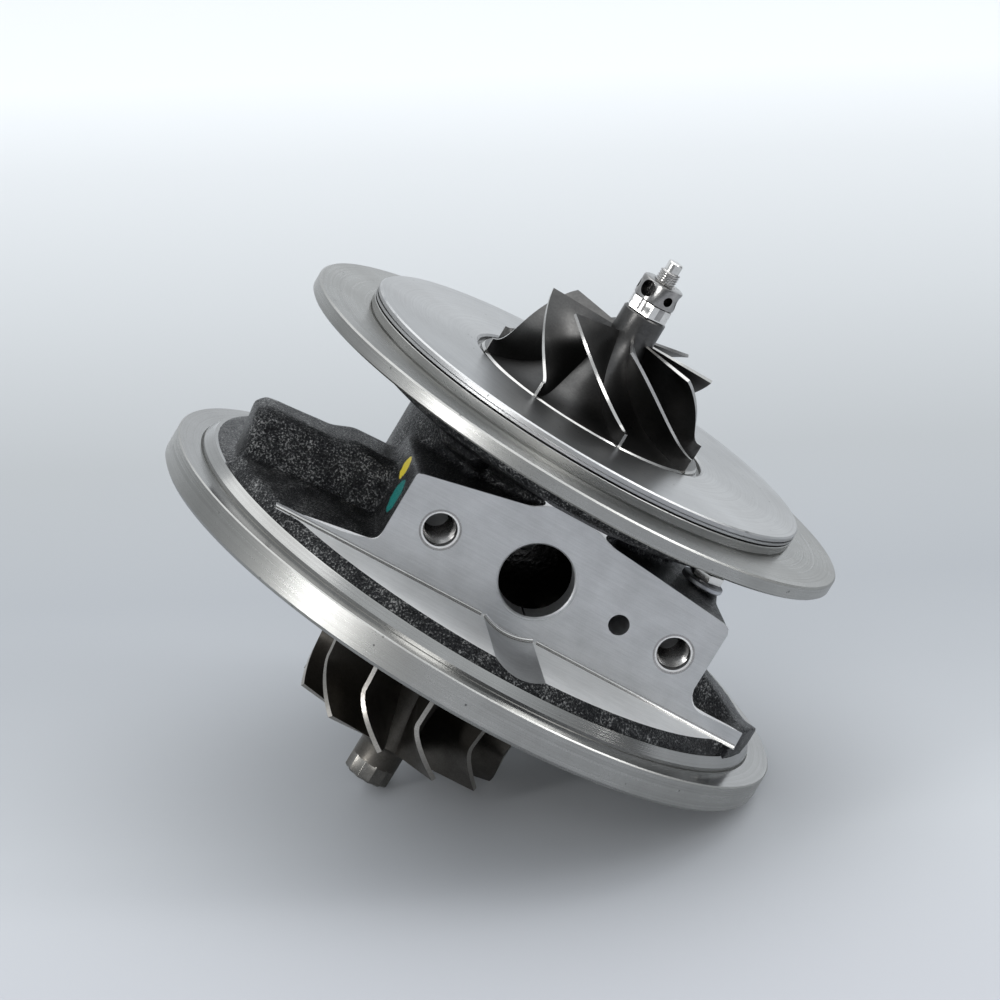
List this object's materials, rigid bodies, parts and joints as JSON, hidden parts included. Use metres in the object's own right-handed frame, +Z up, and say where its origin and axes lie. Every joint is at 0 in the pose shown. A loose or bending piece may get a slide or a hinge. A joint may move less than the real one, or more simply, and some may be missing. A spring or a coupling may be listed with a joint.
{
  "type": "turbocharger cartridge",
  "caption": "Turbocharger centre cartridge: cast bearing housing with oil pad, compressor and turbine wheels on one shaft, nut and backplate, leaning as it rests.",
  "frame": {"origin": "middle of the bottom of the part's box, on the bench it leans on", "axes": "+Z up from the bench; -Y out of the machined oil pad; +X towards the low side of the turbine flange, the side the shaft leans to at its compressor end"},
  "size_m": [0.154, 0.1582, 0.1249],
  "materials": {
    "cast_iron": "dark shot-blasted casting with light machined faces",
    "machined_iron": "fine turned",
    "steel": "turned and polished",
    "bronze": "turned",
    "rubber": "matt",
    "dark_aluminium": "milled, dark",
    "nickel_alloy": "cast, brown-grey",
    "shield_steel": "pressed sheet"
  },
  "bodies": {
    "housing": {"bearing_housing": "cast_iron", "compressor_backplate": "machined_iron", "backplate_bolt_1": "steel", "backplate_bolt_2": "steel", "backplate_bolt_3": "steel", "oil_gallery_plug": "steel", "thrust_screw_1": "steel", "thrust_screw_2": "steel", "thrust_screw_3": "steel", "oil_baffle": "steel", "circlip_turbine_outer": "steel", "circlip_turbine_inner": "steel", "circlip_compressor_inner": "steel", "circlip_compressor_outer": "steel", "seal_ring_turbine": "steel", "seal_ring_compressor": "steel", "thrust_bearing": "bronze", "backplate_o_ring": "rubber", "gallery_plug_washer": "dark_aluminium", "heat_shield": "shield_steel"},
    "rotor": {"rotor_shaft": "steel", "thrust_collar": "steel", "oil_flinger": "steel", "compressor_wheel": "dark_aluminium", "shaft_nut": "steel", "turbine_wheel": "nickel_alloy"},
    "bush_turbine": {"journal_bearing_turbine": "bronze"},
    "bush_compressor": {"journal_bearing_compressor": "bronze"}
  },
  "joints": [
    {"name": "rotor_spin", "type": "hinge", "parent": "housing", "child": "rotor", "pos_m": [0.00571, 0, 0.06641], "axis": [0.5217, 0, 0.8531], "continuous": true},
    {"name": "turbine_bush_float", "type": "hinge", "parent": "housing", "child": "bush_turbine", "pos_m": [-0.00028, 0, 0.0566], "axis": [0.5217, 0, 0.8531], "continuous": true},
    {"name": "compressor_bush_float", "type": "hinge", "parent": "housing", "child": "bush_compressor", "pos_m": [0.00832, 0, 0.07067], "axis": [0.5217, 0, 0.8531], "continuous": true}
  ]
}
